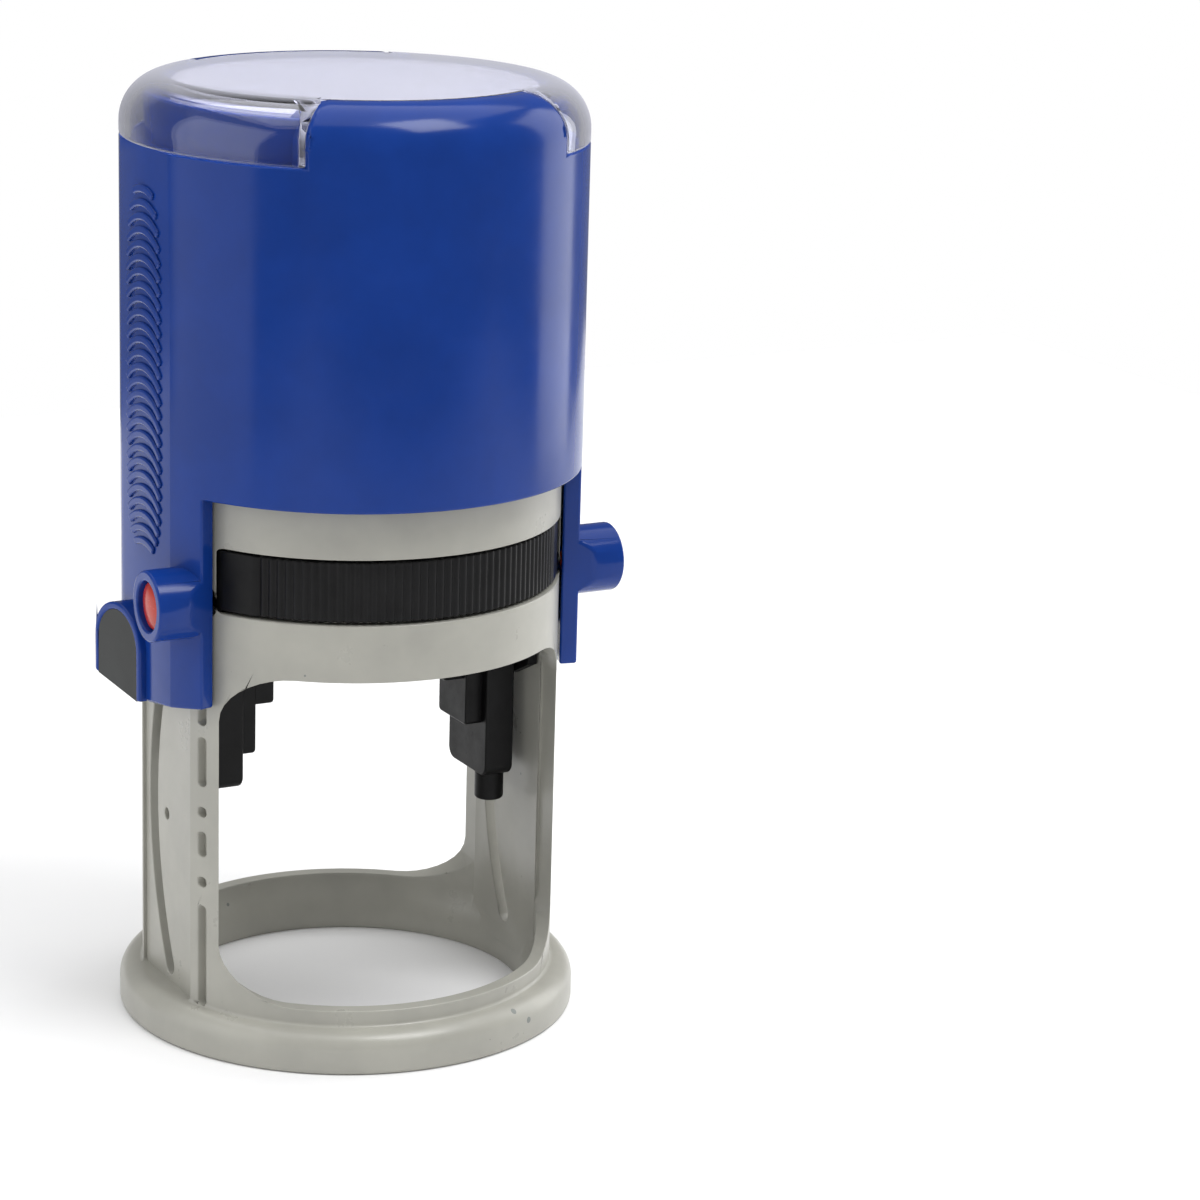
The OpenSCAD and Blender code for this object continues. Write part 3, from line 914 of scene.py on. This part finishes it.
@dataclass
class FrameShell:
    """Grey frame: flange, two legs, lower band, cassette window, upper band and deck.

    Attributes:
        plan: Sizes of the stamp.
        flange_top: Height where the flange meets the wall.
        base_h: Height of the base ring.
        opening_r: Radius of the openings' corners.
        recess_half: Half the width of a leg's flat recess.
        groove_y: How far in front of the centre the guide groove runs.
        groove_w: Width of the guide groove.
        ring_in: Radius inside the spring's locating ring.
        ring_out: Radius outside it.
        ring_h: Its height.
        shelf_y: How far back the cassette's shelf starts.
        slot_half: Half the width of the cam slot.
        pin_arm: Distance from the flip pivot to the cam pin.
        dashes: Lower and upper end of each dash of the guide groove, as shares of the lower
            band's height.
    """

    plan: Plan
    flange_top: float = 5.0
    base_h: float = 7.0
    opening_r: float = 6.3
    recess_half: float = 7.4
    groove_y: float = 9.4
    groove_w: float = 1.3
    ring_in: float = 8.0
    ring_out: float = 9.0
    ring_h: float = 2.6
    shelf_y: float = 3.0
    slot_half: float = 1.25
    pin_arm: float = 5.0
    dashes: tuple[tuple[float, float], ...] = (
        (0.108, 0.372),
        (0.423, 0.448),
        (0.503, 0.567),
        (0.607, 0.632),
        (0.687, 0.814),
        (0.846, 0.93),
    )

    def wall(self) -> bmesh.types.BMesh:
        """Flange, wall, deck and the spring's locating ring, turned in one."""
        p = self.plan
        hole_r = p.wall_in - 1.5
        return turned(
            rounded(
                [
                    (0, p.window_top, 0),
                    (p.wall_in, p.window_top, 0),
                    (p.wall_in, self.base_h - 0.6, 0),
                    (hole_r, 2.5, 0),
                    (hole_r, 0, 0),
                    (p.flange_r, 0, 0.5),
                    (p.flange_r, self.flange_top, 2.3),
                    (p.wall_r, self.flange_top, 0.45),
                    (p.wall_r, p.frame_top, 0.5),
                    (p.wall_in, p.frame_top, 0),
                    (p.wall_in, p.deck_top, 0.5),
                    (self.ring_out, p.deck_top, 0),
                    (self.ring_out, p.deck_top + self.ring_h, 0),
                    (self.ring_in, p.deck_top + self.ring_h, 0),
                    (self.ring_in, p.deck_top, 0),
                    (0, p.deck_top, 0),
                ]
            ),
            FRAME_STEPS,
        )

    def cam_slot(self) -> bmesh.types.BMesh:
        """Curved slot that the cam pin runs in as the carrier turns over."""
        p, arm, half = self.plan, self.pin_arm, self.slot_half

        def centre(turn: float) -> Vector:
            a = math.radians(turn)
            return Vector((arm * math.sin(a), p.pivot_z - p.travel * turn / 180 + arm * math.cos(a)))

        def across(turn: float) -> Vector:
            way = (centre(turn + 0.5) - centre(turn - 0.5)).normalized()
            return Vector((-way.y, way.x)) * half

        turns = [7.5 * k for k in range(25)]
        outline = [tuple(centre(t) - across(t)) for t in turns]
        for end, first in ((180.0, -1.0), (0.0, 1.0)):
            side = across(end) * first
            cap = [centre(end) + Matrix.Rotation(math.radians(15 * k), 2) @ side for k in range(1, 12)]
            outline += [tuple(point) for point in cap]
            if end:
                outline += [tuple(centre(t) + across(t)) for t in reversed(turns)]
        return prism(outline, Axis.X, p.wall_in - 3, p.wall_r)

    def build(self) -> None:
        """Builds the frame as one moulding."""
        p = self.plan
        panel_in = p.yoke_out + 0.3
        recess_x = p.wall_in + 0.2
        half = p.wall_in * 0.949
        opening = soft_box(-half, half, self.base_h, p.band_z, self.opening_r, self.opening_r)
        window = soft_box(-p.window_half, p.window_half, p.window_z, p.window_top, 0.6, 0.6)
        panel = soft_box(-self.recess_half - 1, self.recess_half + 1, 2.6, p.window_z - 0.2)
        recess = soft_box(-self.recess_half, self.recess_half, self.flange_top, p.window_z - 1, 0.5, 0.8)
        shelf_in, shelf_out = p.die_r + 1.8, p.wall_in + 0.9
        shelf_start = math.degrees(math.asin(self.shelf_y / shelf_out))
        shelf_end = math.degrees(math.asin(self.shelf_y / shelf_in))
        shelf = arc(shelf_out, shelf_start, 180 - shelf_start, 60)
        shelf += arc(shelf_in, 180 - shelf_end, shelf_end, 60)
        groove_floor = math.sqrt((p.wall_r - 0.7) ** 2 - self.groove_y**2)
        grooves = [
            prism(
                soft_box(
                    -self.groove_y - self.groove_w / 2,
                    -self.groove_y + self.groove_w / 2,
                    low * p.band_z,
                    high * p.band_z,
                    min(0.6, (high - low) * p.band_z / 2.2),
                    min(0.6, (high - low) * p.band_z / 2.2),
                ),
                Axis.X,
                groove_floor,
                p.casing_r,
            )
            for low, high in self.dashes
        ]
        arm_front, arm_back = -8.3, -1.4
        slot = [
            (p.tray_half, arm_front),
            (panel_in, arm_front),
            (panel_in, arm_back),
            (p.tray_half, arm_back),
        ]
        solid = combined(
            self.wall(),
            (Cut.TAKE, prism(opening, Axis.Y, -p.casing_r - 2, p.casing_r + 2)),
            (Cut.TAKE, prism(window, Axis.Y, -p.casing_r, 0)),
            (Cut.TAKE, both_sides(prism(slot, Axis.Z, p.window_top - 1, p.deck_top + 1))),
            (Cut.ADD, both_sides(prism(panel, Axis.X, panel_in, recess_x + 0.05))),
            (Cut.ADD, prism(shelf, Axis.Z, p.face_z - 1.6, p.face_z - 0.1)),
            (Cut.TAKE, both_sides(prism(recess, Axis.X, recess_x, p.casing_r))),
            (Cut.TAKE, both_sides(self.cam_slot())),
            (Cut.TAKE, both_sides(gathered(grooves))),
            (Cut.TAKE, both_sides(rod(2.1, p.wall_in - 3, p.casing_in, p.button_y, p.button_z))),
            (Cut.TAKE, both_sides(rod(0.7, panel_in - 1, p.wall_r, 0.9, p.pivot_z - 17, 32))),
        )
        finished("frame_shell", solid, FRAME_GREY, "frame", ["frame_body"], Edge(0.16))


def shield_mask(plan: Plan, half: float, gap: float, corner: float) -> bmesh.types.BMesh:
    """Shields' outline seen from the front, grown by a gap and drawn through the stamp."""
    outline = soft_box(
        -half - gap, half + gap, plan.shoulder_z - 3, plan.crown_z + 0.1 + gap, 0, corner + gap
    )
    return prism(outline, Axis.Y, -2 * plan.casing_r, 2 * plan.casing_r)


@dataclass
class Casing:
    """Blue press-down casing with its shields, legs, bosses, hoods and ribbed grips.

    Attributes:
        plan: Sizes of the stamp.
        leg_angle: Half the angle that a leg covers, in degrees.
        shield_corner: Radius of the shields' upper corners.
        crown_r: Radius of the crown's rounded edge.
        post_r: Radius of the post inside the spring.
        post_h: Its height.
        arch_y: How far behind the centre the arch is.
        arch_r: Half its width.
        arch_wall: Thickness of the hood round it.
        hood_proud: How far the hood stands out at its back.
        ridge_pitch: Spacing of the grip's ridges.
        ridge_r: Radius of a ridge's curve.
        ridge_half: Half the width of a ridge.
        ridge_w: Height of a ridge, seen from the side.
        ridge_proud: How far a ridge stands out.
    """

    plan: Plan
    leg_angle: float = 26.8
    shield_corner: float = 5.0
    crown_r: float = 5.5
    post_r: float = 5.7
    post_h: float = 9.0
    arch_y: float = 5.2
    arch_r: float = 4.3
    arch_wall: float = 0.9
    hood_proud: float = 1.4
    ridge_pitch: float = 1.6
    ridge_r: float = 7.7
    ridge_half: float = 5.3
    ridge_w: float = 0.95
    ridge_proud: float = 0.36

    @property
    def shield_half(self) -> float:
        """Half the width of the front and back shields."""
        return self.plan.casing_r * 0.588

    def shell(self) -> bmesh.types.BMesh:
        """Wall, plateau and the post inside the spring, turned in one."""
        p = self.plan
        plateau_r = p.casing_in - 0.9
        return turned(
            rounded(
                [
                    (0, p.ceiling_z - self.post_h, 0),
                    (self.post_r, p.ceiling_z - self.post_h, 0),
                    (self.post_r, p.ceiling_z, 0),
                    (plateau_r - 1.4, p.ceiling_z, 0),
                    (plateau_r - 1.4, p.shoulder_z - 2, 0),
                    (p.casing_in, p.shoulder_z - 2, 0),
                    (p.casing_in, p.leg_z - 1, 0),
                    (p.casing_r, p.leg_z - 1, 0),
                    (p.casing_r, p.shoulder_z, 0),
                    (plateau_r, p.shoulder_z, 0),
                    (plateau_r, p.plateau_z, 0),
                    (0, p.plateau_z, 0),
                ]
            )
        )

    def leg_gap(self, front: bool) -> bmesh.types.BMesh:
        """Wedge that frees the rim between the two legs."""
        p = self.plan
        reach = 60.0 if front else -60.0
        width = abs(reach) * math.tan(math.radians(90 - self.leg_angle))
        return prism([(0, 0), (-width, -reach), (width, -reach)], Axis.Z, p.leg_z - 3, p.rim_z)

    def underside(self) -> bmesh.types.BMesh:
        """What is cut from under one leg, so that its edge rises from the arch both ways."""
        p = self.plan
        edge = [
            (-p.casing_r, p.leg_z + 5.1),
            (self.arch_y - self.arch_r, p.leg_z),
            (self.arch_y + self.arch_r, p.leg_z + 1.5),
            (p.casing_r, p.leg_z + 4.6),
        ]
        below = p.leg_z - 3
        return prism([(-p.casing_r, below), *edge, (p.casing_r, below)], Axis.X, 0, 2 * p.casing_r)

    def shields(self) -> bmesh.types.BMesh:
        """Front and back shields that stand up to the crown."""
        p = self.plan
        inner = p.casing_r - self.crown_r - 0.1
        ring = turned(
            rounded(
                [
                    (inner, p.shoulder_z - 1, 0),
                    (p.casing_r, p.shoulder_z - 1, 0),
                    (p.casing_r, p.crown_z, self.crown_r),
                    (inner, p.crown_z, 0),
                ],
                6,
            )
        )
        return combined(ring, (Cut.KEEP, shield_mask(p, self.shield_half, 0.0, self.shield_corner)))

    def arch(self, radius: float) -> Outline:
        """Half round head on straight sides, in (y, z)."""
        p = self.plan
        head = arc(radius, 0, 180, 24, (self.arch_y, p.leg_z + 6))
        return [(self.arch_y + radius, p.leg_z - 1), *head, (self.arch_y - radius, p.leg_z - 1)]

    def hood(self) -> bmesh.types.BMesh:
        """Slanted hood round the arch on one leg."""
        p = self.plan
        front, back = p.casing_r - 0.2, p.casing_r + self.hood_proud
        low, high = self.arch_y - 2 * self.arch_r, self.arch_y + 2 * self.arch_r
        slant = [
            (p.casing_in, low),
            (front, low),
            (front, self.arch_y - self.arch_r - self.arch_wall),
            (back, self.arch_y + self.arch_r),
            (back, high),
            (p.casing_in, high),
        ]
        return combined(
            prism(self.arch(self.arch_r + self.arch_wall), Axis.X, p.casing_in, p.boss_x),
            (Cut.TAKE, prism(self.arch(self.arch_r), Axis.X, p.casing_in - 1, p.boss_x + 1)),
            (Cut.KEEP, prism(slant, Axis.Z, p.leg_z - 2, p.leg_z + 4 * self.arch_r)),
        )

    def ridges(self) -> bmesh.types.BMesh:
        """Raised arcs across one flat grip, shorter towards both ends."""
        p = self.plan
        low, high = p.button_z + 5.6, p.shoulder_z - 4.6
        count = round((high - low) / self.ridge_pitch)
        bars = []
        for k in range(count + 1):
            crown = low + (high - low) * k / count
            share = 2 * k / count - 1
            half = self.ridge_half * (1 - 0.42 * share**8)
            spread = math.degrees(math.asin(half / self.ridge_r))
            centre = (0.0, crown - self.ridge_r)
            outline = arc(self.ridge_r, 90 - spread, 90 + spread, 16, centre)
            outline += arc(self.ridge_r - self.ridge_w, 90 + spread, 90 - spread, 16, centre)
            bars.append(prism(outline, Axis.X, p.grip_x - 0.2, p.grip_x + self.ridge_proud))
        return gathered(bars)

    def build(self) -> None:
        """Builds the casing as one moulding, and the ridges on its two grips."""
        p = self.plan
        wide = 60.0
        grip = soft_box(-p.casing_r, p.casing_r, p.leg_z - 3, p.shoulder_z + 1)
        boss = combined(
            rod(p.boss_r, p.casing_in - 5, p.boss_x, p.button_y, p.button_z, 96),
            (Cut.TAKE, disc(p.casing_in + 0.1, 0, 90)),
        )
        solid = combined(
            self.shell(),
            (Cut.TAKE, both_sides(prism(grip, Axis.X, p.grip_x, wide))),
            (Cut.TAKE, both_sides(prism(self.arch(self.arch_r), Axis.X, p.casing_in - 3, wide))),
            (Cut.ADD, self.shields()),
            (Cut.ADD, both_sides(boss)),
            (Cut.ADD, both_sides(self.hood())),
            (Cut.TAKE, self.leg_gap(True)),
            (Cut.TAKE, self.leg_gap(False)),
            (Cut.TAKE, both_sides(self.underside())),
            (Cut.TAKE, both_sides(rod(2.95, p.casing_in + 0.7, p.boss_x + 1, p.button_y, p.button_z))),
            (Cut.TAKE, both_sides(rod(1.6, p.casing_in - 4, p.boss_x, p.button_y, p.button_z, 48))),
        )
        finished("casing", solid, CASING_BLUE, "casing", ["casing_shell"], Edge(0.3))
        for side in ("right", "left"):
            ridges = self.ridges() if side == "right" else mirrored(self.ridges())
            name, edge = f"grip_ridges_{side}", Edge(0.26, 4, 50)
            finished(name, ridges, CASING_BLUE, "casing", edge=edge)
        # The arch liners are painted shade: a near-black sheet where the hollow of each arch lies in shadow
        dressed(ARCH_SHADE_BLACK, "arch_liner_left", "arch_liner_right")


@dataclass
class TopCap:
    """Clear cap over the label, with a skirt on each side between the shields."""

    plan: Plan
    casing: Casing
    thickness: float = 1.3

    def build(self) -> None:
        """Builds the cap and dresses the label under it."""
        p, c = self.plan, self.casing
        inner = p.casing_r - self.thickness
        shell = turned(
            rounded(
                [
                    (0, p.crown_z - self.thickness, 0),
                    (inner, p.crown_z - self.thickness, c.crown_r - self.thickness),
                    (inner, p.shoulder_z + 0.1, 0),
                    (p.casing_r, p.shoulder_z + 0.1, 0),
                    (p.casing_r, p.crown_z, c.crown_r),
                    (0, p.crown_z, 0),
                ],
                5,
            )
        )
        low, high = p.shoulder_z - 1, p.crown_z + 1
        inside = p.casing_r - c.crown_r - 0.25
        notch = combined(
            tube(inside, 2 * p.casing_r, low, high),
            (Cut.KEEP, shield_mask(p, c.shield_half, 0.15, c.shield_corner)),
        )
        solid = combined(shell, (Cut.TAKE, notch))
        finished("clear_cap_shell", solid, CAP_CLEAR, "cap", ["clear_cap"], Edge(0.18, 3))
        dressed(LABEL_PAPER, "label_card")


@dataclass
class InkCassette:
    """Black slide-out tray with a ribbed front, and the felt pad that it holds."""

    plan: Plan
    rib_pitch: float = 1.0
    rib_depth: float = 0.24
    rib_end: float = 50.0
    pad_t: float = 4.9
    pad_corner: float = 0.7

    def front(self) -> bmesh.types.BMesh:
        """Curved bar that closes the window, ribbed for the fingers."""
        p = self.plan
        outer, inner = p.wall_r - 0.3, p.wall_in - 0.6
        half, back = p.window_half - 0.3, p.button_y + 0.9
        edge = math.degrees(math.asin(half / outer))
        ribs = round(math.radians(2 * self.rib_end) * outer / self.rib_pitch)
        samples = ribs * 8
        bows = []
        for k in range(samples + 1):
            turn = math.radians(2 * self.rib_end * k / samples - self.rib_end)
            radius = outer - self.rib_depth * abs(math.cos(math.pi * k / 8)) ** 3
            bows.append((radius * math.sin(turn), -radius * math.cos(turn)))
        plain = arc(outer, -90 - edge, -90 - self.rib_end - 0.8, 8)
        inner_end = math.degrees(math.acos(-back / inner))
        outline = [(-half, back), *plain, *bows]
        outline += [(-x, y) for x, y in reversed(plain)]
        outline += [(half, back), *arc(inner, -90 + inner_end, -90 - inner_end, 64)]
        return prism(outline, Axis.Z, p.window_z + 0.3, p.window_top - 0.3)

    def build(self) -> None:
        """Builds the tray and its pad."""
        p = self.plan
        tray_r, floor, top = p.wall_in - 0.3, p.face_z + 0.05, p.window_top - 0.3
        pad_r, pad_z = p.die_r + 0.2, p.face_z + 0.1
        well_r, pad_top = pad_r + 0.1, pad_z + self.pad_t
        sides = prism(soft_box(-p.tray_half, p.tray_half, -60, 60), Axis.Z, 0, 90)
        solid = combined(
            disc(tray_r, floor, top),
            (Cut.KEEP, sides),
            (Cut.ADD, self.front()),
            (Cut.TAKE, disc(well_r, 0, pad_top)),
        )
        finished(
            "cassette",
            solid,
            CASSETTE_BLACK,
            "ink_cassette",
            ["cassette_tray"],
            Edge(0.22, 3, 55),
        )
        felt = soft_disc(pad_r, pad_z, pad_top, self.pad_corner)
        pad = finished("felt_pad", felt, INK_FELT, "ink_cassette", ["ink_pad"], Edge(0))


@dataclass
class LockButton:
    """Red button that locks the casing down, with the small spring behind its head."""

    plan: Plan
    side: str
    head_r: float = 2.85
    stem_r: float = 1.5
    travel: float = 1.8

    @property
    def sign(self) -> int:
        """1 on the right side and -1 on the left."""
        return 1 if self.side == "right" else -1

    def on_side(self, solid: bmesh.types.BMesh) -> bmesh.types.BMesh:
        """Turns a shape drawn along Z to lie along X on the button's axis, on its own side."""
        p = self.plan
        moved(solid, (0, p.button_y, p.button_z), 90, "Y")
        return mirrored(solid) if self.sign < 0 else solid

    def build(self) -> None:
        """Builds the button and its spring."""
        p = self.plan
        face, floor = p.boss_x - 0.3, p.casing_in + 0.7
        head = floor + self.travel + 0.4
        dome = [(self.head_r * 0.86 * (1 - k / 8), face - 0.3 * (1 - k / 8) ** 2) for k in range(9)]
        profile = rounded(
            [
                (0, p.wall_in + 0.75, 0),
                (self.stem_r, p.wall_in + 0.75, 0.2),
                (self.stem_r, head, 0),
                (self.head_r, head, 0.15),
                (self.head_r, face - 0.42, 0.3),
                *[(radius, height, 0) for radius, height in dome],
            ]
        )
        finished(
            f"button_{self.side}_cap",
            self.on_side(turned(profile, SMALL_STEPS)),
            BUTTON_RED,
            f"button_{self.side}",
            [f"lock_button_{self.side}"],
            Edge(0.1, 2, 50),
        )
        spring = finished(
            f"button_{self.side}_coil",
            self.on_side(coil(2.25, 0.4, floor, head, 4, 24, 8)),
            SPRING_STEEL,
            "casing",
            [f"button_spring_{self.side}"],
            Edge(0),
        )
        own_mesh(spring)


@dataclass
class Works:
    """Return spring, yoke and pins inside the casing."""

    plan: Plan
    mean_r: float = 6.9
    wire: float = 1.2
    turns: int = 9

    def build(self) -> None:
        """Builds the spring and dresses the yoke and the pins."""
        p = self.plan
        solid = coil(self.mean_r, self.wire, p.deck_top, p.ceiling_z, self.turns, 36, 14)
        spring = finished(
            "return_coil", solid, SPRING_STEEL, "frame", ["return_spring"], Edge(0)
        )
        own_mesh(spring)
        dressed(WORKS_BLACK, "press_yoke")
        dressed(PIN_STEEL, "pivot_pin_left", "pivot_pin_right", "cam_pin_left", "cam_pin_right")


@dataclass
class DieStack:
    """Turning carrier with its plate, cushion and printing rubber."""

    plan: Plan
    relief: float = 0.8
    floor_t: float = 1.0
    cushion_t: float = 1.4
    bulge: float = 0.45
    plate_t: float = 1.8
    bars: int = 24

    @property
    def top(self) -> float:
        """Height of the carrier's upper face."""
        return self.plan.face_z - self.relief - self.floor_t - self.cushion_t - self.plate_t

    def carrier(self) -> bmesh.types.BMesh:
        """Round plate with two stepped cheeks. The right cheek is longer and has the peg."""
        p, top = self.plan, self.top
        cheek_in, tail = p.tray_half - 3.8, p.pivot_z - 16
        disc_r, disc_z = p.die_r - 0.4, top - 2.3
        step = soft_box(-3.8, 3.8, p.pivot_z - 9.3, top, 0.6, 0)
        inner_step = soft_box(-3.2, 3.2, p.pivot_z - 3.5, top, 0.6, 0)
        right_cheek = soft_box(-5.2, 5.2, tail, top, 1.5, 0)
        left_cheek = soft_box(-5.2, 5.2, tail + 3, top, 1.5, 0)
        peg_r, peg_z, peg_top = 1.8, tail - 3.4, tail + 0.5
        peg = moved(
            turned(rounded([(0, peg_z, 0), (peg_r, peg_z, 0.4), (peg_r, peg_top, 0), (0, peg_top, 0)]), 48),
            (p.tray_half - 1.9, -2.5, 0),
        )
        return combined(
            disc(disc_r, disc_z, top),
            (Cut.ADD, prism(right_cheek, Axis.X, cheek_in, p.tray_half)),
            (Cut.ADD, prism(left_cheek, Axis.X, -p.tray_half, -cheek_in)),
            (Cut.ADD, both_sides(prism(step, Axis.X, cheek_in - 2.2, cheek_in + 0.1))),
            (Cut.ADD, both_sides(prism(inner_step, Axis.X, cheek_in - 4.8, cheek_in - 2.1))),
            (Cut.ADD, peg),
            (Cut.TAKE, both_sides(rod(1.5, cheek_in - 6, p.tray_half + 1, 0, p.pivot_z, 48))),
            (Cut.TAKE, both_sides(rod(1.02, cheek_in + 1, p.tray_half + 1, 0, p.pivot_z + 5, 32))),
        )

    def rubber(self) -> bmesh.types.BMesh:
        """Rubber with a generic pattern: two rings and 24 bars round a plain dot."""
        p = self.plan
        face, base = p.face_z, p.face_z - self.relief
        low = base - 0.2
        bar = soft_box(p.die_r * 0.64, p.die_r * 0.84, -0.7, 0.7, 0.2, 0.2)
        bars = [
            moved(prism(bar, Axis.Z, low, face), (0, 0, 0), 360 / self.bars * k)
            for k in range(self.bars)
        ]
        dot_r, ring_r = p.die_r * 0.28, p.die_r * 0.55
        return combined(
            disc(p.die_r, base - self.floor_t, base),
            (Cut.ADD, tube(p.die_r - 1.2, p.die_r, low, face)),
            (Cut.ADD, tube(ring_r - 0.8, ring_r, low, face)),
            (Cut.ADD, disc(dot_r, low, face)),
            (Cut.ADD, gathered(bars)),
        )

    def build(self) -> None:
        """Builds the carrier, the cushion and the rubber, and dresses the plate."""
        p = self.plan
        finished(
            "carrier", self.carrier(), WORKS_BLACK, "die_carrier", ["die_carrier"], Edge(0.3)
        )
        low = self.top + self.plate_t
        foam = soft_disc(p.die_r - 0.3, low, low + self.cushion_t, self.bulge)
        cushion = finished(
            "cushion", foam, CUSHION_FOAM, "die_carrier", ["foam_cushion"], Edge(0)
        )
        finished(
            "printing_rubber",
            self.rubber(),
            DIE_RUBBER,
            "die_carrier",
            ["rubber_die"],
            Edge(0.1, 2),
        )
        dressed(PLATE_GREY, "die_plate")


# ---------------------------------------------------------------- studio


@dataclass
class Softbox:
    """Rectangular area light.

    Attributes:
        name: Its name.
        place: Where it hangs, in metres.
        aim: The point that it faces, in metres.
        size: Its width and height, in metres.
        watts: Its power.
    """

    name: str
    place: tuple[float, float, float]
    aim: tuple[float, float, float]
    size: tuple[float, float]
    watts: float

    def build(self) -> None:
        """Adds the light to the scene."""
        light = bpy.data.lights.new(self.name, "AREA")
        light.shape = "RECTANGLE"
        light.size, light.size_y = self.size
        light.energy = self.watts
        item = bpy.data.objects.new(self.name, light)
        item.location = self.place
        item.rotation_mode = "QUATERNION"
        item.rotation_quaternion = (Vector(self.aim) - Vector(self.place)).to_track_quat("-Z", "Y")
        bpy.context.scene.collection.objects.link(item)


@dataclass
class Studio:
    """White sweep, soft light and the camera."""

    camera_place: tuple[float, float, float] = (-0.1848, -0.3963, 0.1712)
    camera_aim: tuple[float, float, float] = (0.02645, -0.01465, 0.05127)
    camera_roll: float = 1.69
    lens: float = 111.98
    floor_half: float = 0.32

    def floor(self) -> None:
        """Plain pale floor that the stamp stands on."""
        card = bmesh.new()
        bmesh.ops.create_grid(card, x_segments=8, y_segments=8, size=self.floor_half)
        item = as_object("floor", card)
        item.data.materials.append(FLOOR_WHITE.material())

    def world(self) -> None:
        """White surroundings: soft light from all round, dimmer in mirrored rays, white to the camera."""
        world = bpy.data.worlds.new("white room")
        world.use_nodes = True
        tree = world.node_tree
        room = tree.nodes["Background"]
        white = (1.0, 1.0, 1.0, 1.0)
        room.inputs["Color"].default_value = white
        room.inputs["Strength"].default_value = 0.46
        path = add_node(tree, "ShaderNodeLightPath")
        seen = room.outputs[0]
        for ray, strength in (("Is Glossy Ray", 0.24), ("Is Camera Ray", 1.0)):
            shade = add_node(tree, "ShaderNodeBackground", {"Color": white, "Strength": strength})
            seen = blended(tree, path.outputs[ray], seen, shade.outputs[0])
        tree.links.new(seen, tree.nodes["World Output"].inputs["Surface"])
        bpy.context.scene.world = world

    def camera(self) -> None:
        """Camera in front of the stamp, to its left and a little above it, with everything sharp."""
        data = bpy.data.cameras.new("camera")
        data.lens = self.lens
        data.sensor_width = 36.0
        data.clip_start = 0.01
        data.dof.use_dof = False
        item = bpy.data.objects.new("camera", data)
        item.location = self.camera_place
        item.rotation_mode = "QUATERNION"
        look = (Vector(self.camera_aim) - Vector(self.camera_place)).to_track_quat("-Z", "Y")
        item.rotation_quaternion = look @ Quaternion((0, 0, 1), math.radians(self.camera_roll))
        bpy.context.scene.collection.objects.link(item)
        bpy.context.scene.camera = item

    def build(self) -> None:
        """Builds the floor, the surroundings, the lights and the camera."""
        middle = (0.0, 0.0, 0.06)
        self.floor()
        self.world()
        Softbox("top softbox", (0.05, 0.1, 0.9), (0.0, 0.0, 0.0), (1.1, 1.1), 5.6).build()
        Softbox("key softbox", (0.2, -0.36, 0.8), middle, (0.36, 0.36), 3.4).build()
        Softbox("right softbox", (0.62, 0.02, 0.2), middle, (0.36, 0.7), 2.0).build()
        Softbox("left softbox", (-0.62, 0.08, 0.2), middle, (0.6, 0.8), 1.6).build()
        self.camera()
        bpy.context.scene.view_settings.view_transform = "Standard"


def main() -> None:
    """Builds the stamp's sub-assemblies in order, then the studio."""
    logging.basicConfig(level=logging.INFO, format="%(name)s: %(message)s")
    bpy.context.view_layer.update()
    plan = Plan.from_frame()
    LOG.info("%s", plan)
    casing = Casing(plan)
    assemblies = [
        FrameShell(plan),
        casing,
        TopCap(plan, casing),
        InkCassette(plan),
        LockButton(plan, "right"),
        LockButton(plan, "left"),
        Works(plan),
        DieStack(plan),
        Studio(),
    ]
    for assembly in assemblies:
        assembly.build()


if __name__ == "__main__":
    main()
